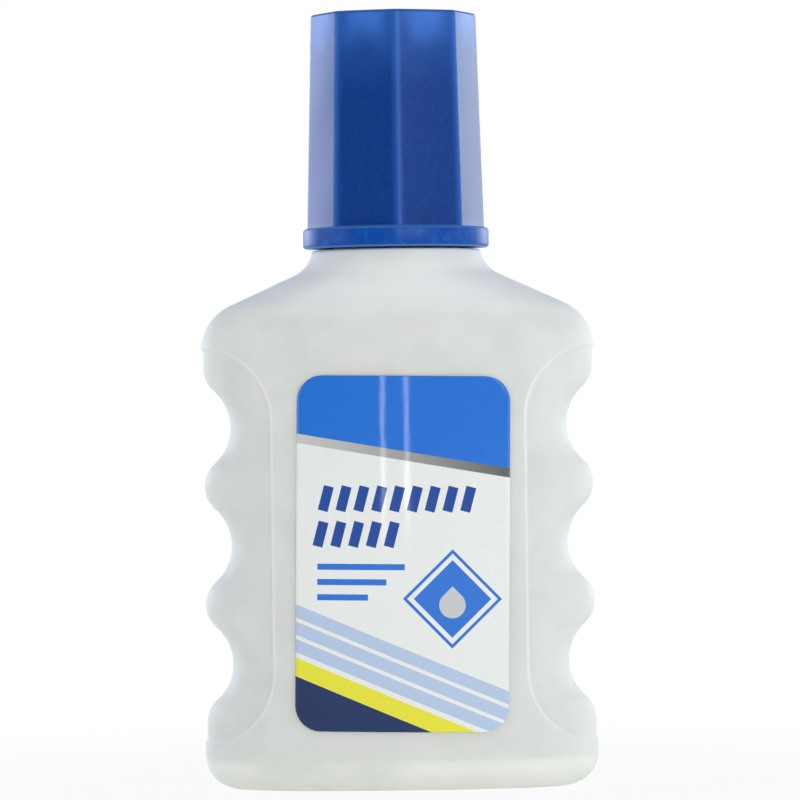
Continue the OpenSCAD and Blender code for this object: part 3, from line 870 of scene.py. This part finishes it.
blow_moulded_bottle(blow_moulded_polyethylene())
printed_label(printed_film())
moulded_cap(moulded_polypropylene())
moulded_stem(moulded_stem_polyethylene())
foam_wedge(open_cell_foam())
for node, finish in (
    ("fluid", liquid_paint), ("mixer_ball", ground_steel), ("cap_liner", punched_polyethylene_foam)
):
    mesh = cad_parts[node].data
    mesh.materials.clear()
    mesh.materials.append(finish())
    mesh.shade_smooth()


# Stage, in metres


def pale_floor():
    """A white sheet, which shows as white and keeps the part's shadow."""
    mesh = bpy.data.meshes.new("floor")
    mesh.from_pydata([(-3, -3, 0), (3, -3, 0), (3, 3, 0), (-3, 3, 0)], [], [(0, 1, 2, 3)])
    floor = bpy.data.objects.new("floor", mesh)
    floor.location.z = -0.02 * MM
    bpy.context.scene.collection.objects.link(floor)
    made = bpy.data.materials.new("Paper, white")
    made.use_nodes = True
    tree = made.node_tree
    shader = tree.nodes["Principled BSDF"]
    shader.inputs["Base Color"].default_value = linear("e8e8e8")
    shader.inputs["Roughness"].default_value = 0.9
    seen = add(tree, "LightPath", output="Is Camera Ray")
    tone = painted(tree, linear("fffff4"), (seen, "ffffff"))
    glow = add(tree, "Emission", {"Color": tone, "Strength": 1.0})
    # To the eye the sheet turns to plain white between 20 and 120 mm from the part's middle
    place = add(tree, "TexCoord", output="Object")
    away = add(tree, "VectorMath", (place,), output="Value", operation="LENGTH")
    near_to_far = (away, 0.02, 0.12, 0.9, 1.0)
    white = add(tree, "MapRange", near_to_far, interpolation_type="SMOOTHSTEP")
    # To the part it is a light table, as the photo's bright base shows
    share = add(tree, "MapRange", {0: seen, 3: 0.6, 4: white})
    both = add(tree, "MixShader", (share, shader.outputs[0], glow))
    tree.links.new(both, tree.nodes["Material Output"].inputs["Surface"])
    mesh.materials.append(made)


def white_surround():
    """White to the eye, and to the part bright behind it and darker in front, at the camera."""
    world = bpy.data.worlds.new("surround")
    world.use_nodes = True
    tree = world.node_tree
    soft = {"interpolation_type": "SMOOTHSTEP"}
    direction = add(tree, "TexCoord", output="Generated")
    to_back = (direction, (0, 1, 0))
    depth = add(tree, "VectorMath", to_back, output="Value", operation="DOT_PRODUCT")
    fall = add(tree, "MapRange", (depth, -0.6, 0.1, 0.06, 1.0), **soft)
    rays = add(tree, "LightPath").node.outputs
    mirrored = (rays["Is Glossy Ray"], rays["Is Transmission Ray"])
    shine = add(tree, "Math", mirrored, operation="MAXIMUM")
    level = add(tree, "MapRange", {0: shine, 3: 0.5, 4: 1.0})
    # Weaker above the level, but strongest overhead
    up = add(tree, "SeparateXYZ", (direction,), output="Z")
    weaker = add(tree, "MapRange", (up, 0.1, 0.45, 1.0, 0.45), **soft)
    above = add(tree, "MapRange", (up, 0.6, 0.9, weaker, 1.55), **soft)
    lit = add(tree, "Math", (fall, level), operation="MULTIPLY")
    lit = add(tree, "Math", (lit, above), operation="MULTIPLY")
    strength = add(tree, "Math", (lit, rays["Is Camera Ray"]), operation="MAXIMUM")
    # Cool from above, and neutral from the level and below
    sky = soft_mask(tree, 1.0, (up, 0.02, 0.3))
    coats = (sky, "e6f0ff"), (rays["Is Camera Ray"], "ffffff")
    tone = painted(tree, linear("f6f7f4"), *coats)
    background = tree.nodes["Background"]
    tree.links.new(strength, background.inputs["Strength"])
    tree.links.new(tone, background.inputs["Color"])
    bpy.context.scene.world = world


def soft_lamp(name, place, aim, size, watts, colour):
    """A softbox of a width and a height in metres, turned towards a point."""
    lamp = bpy.data.lights.new(name, "AREA")
    lamp.shape = "RECTANGLE"
    lamp.size, lamp.size_y = size
    lamp.energy = watts
    lamp.color = linear(colour)[:3]
    made = bpy.data.objects.new(name, lamp)
    made.location = place
    made.rotation_euler = (Vector(aim) - Vector(place)).to_track_quat("-Z", "Y").to_euler()
    made.visible_camera = False
    bpy.context.scene.collection.objects.link(made)


def photo_camera():
    """Level with the middle of the part, and leaning by under a degree, as the photo does."""
    data = bpy.data.cameras.new("camera")
    data.sensor_width = 36
    data.lens = 247.5
    data.clip_start = 0.01
    camera = bpy.data.objects.new("camera", data)
    camera.matrix_world = (
        Matrix.Translation((0.21 * MM, -0.55, 38.57 * MM))
        @ Matrix.Rotation(math.pi / 2, 4, "X")
        @ Matrix.Rotation(math.radians(-0.72), 4, "Z")
    )
    bpy.context.scene.collection.objects.link(camera)
    bpy.context.scene.camera = camera


photo_camera()
pale_floor()
white_surround()
# Softboxes, aimed at the middle of the part
for name, place, size, watts, colour in (
    ("key", (0.3, -0.77, 0.27), (0.6, 0.3), 3.7, "fffefd"),
    ("left", (-0.65, -0.1, 0.22), (0.5, 0.5), 1.4, "fafafa"),
    ("right", (0.65, -0.1, 0.22), (0.5, 0.5), 0.95, "f8fafa"),
    ("back left", (-0.5, 0.55, 0.17), (0.4, 0.3), 1.85, "d6e3ff"),
    ("back right", (0.5, 0.55, 0.17), (0.4, 0.3), 1.4, "f2fbff"),
):
    soft_lamp(name, place, (0, 0, 0.04), size, watts, colour)
# Two narrow lamps at the label's height, which it mirrors as upright gleams
for x in (-0.036, 0.019):
    soft_lamp("streak", (x, -0.6, 0.034), (0, 0, 0.034), (0.01, 0.042), 0.011, "ffffff")
bpy.context.scene.view_settings.view_transform = "Standard"
